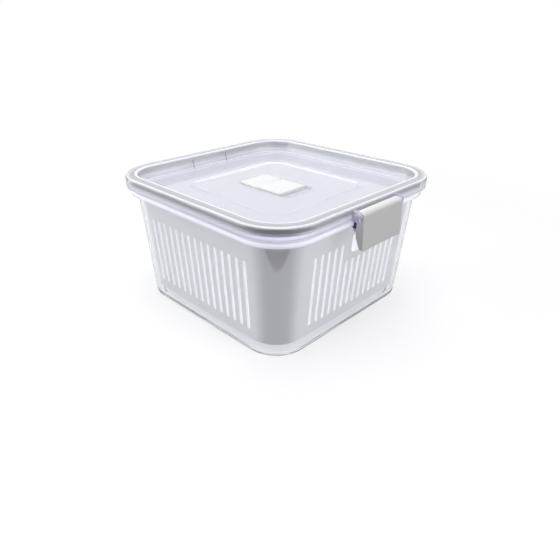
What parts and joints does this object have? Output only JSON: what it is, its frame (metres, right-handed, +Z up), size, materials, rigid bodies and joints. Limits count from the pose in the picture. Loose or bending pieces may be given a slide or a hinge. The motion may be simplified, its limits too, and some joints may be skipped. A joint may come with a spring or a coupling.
{
  "type": "produce keeper",
  "caption": "Square clear produce keeper: slotted drain basket hung in a box, stacking tray lid with gasket, swing-up side latches and flip-up air vent.",
  "frame": {"origin": "middle of the base, on the surface the keeper stands on", "axes": "+Z up, +X towards one latch and -X towards the other, +Y along the plain sides' normal"},
  "size_m": [0.2186, 0.2, 0.111],
  "materials": {
    "clear_plastic": "polished clear moulding",
    "white_plastic": "satin white moulding",
    "grey_plastic": "fine satin moulding",
    "silicone": "soft matt silicone"
  },
  "bodies": {
    "keeper": {"container": "clear_plastic", "basket": "white_plastic", "lid": "clear_plastic", "lid_gasket": "silicone", "vent_base": "white_plastic"},
    "latch_right": {"latch_right": "grey_plastic"},
    "latch_left": {"latch_left": "grey_plastic"},
    "vent_flap": {"vent_flap": "white_plastic", "vent_seal": "silicone"}
  },
  "joints": [
    {"name": "latch_right_hinge", "type": "hinge", "parent": "keeper", "child": "latch_right", "pos_m": [0.1032, 0, 0.1058], "axis": [0, -1, 0], "range_deg": [0, 110]},
    {"name": "latch_left_hinge", "type": "hinge", "parent": "keeper", "child": "latch_left", "pos_m": [-0.1032, 0, 0.1058], "axis": [0, 1, 0], "range_deg": [0, 110]},
    {"name": "vent_flap_hinge", "type": "hinge", "parent": "keeper", "child": "vent_flap", "pos_m": [-0.0075, 0, 0.0983], "axis": [0, -1, 0], "range_deg": [0, 100]}
  ]
}
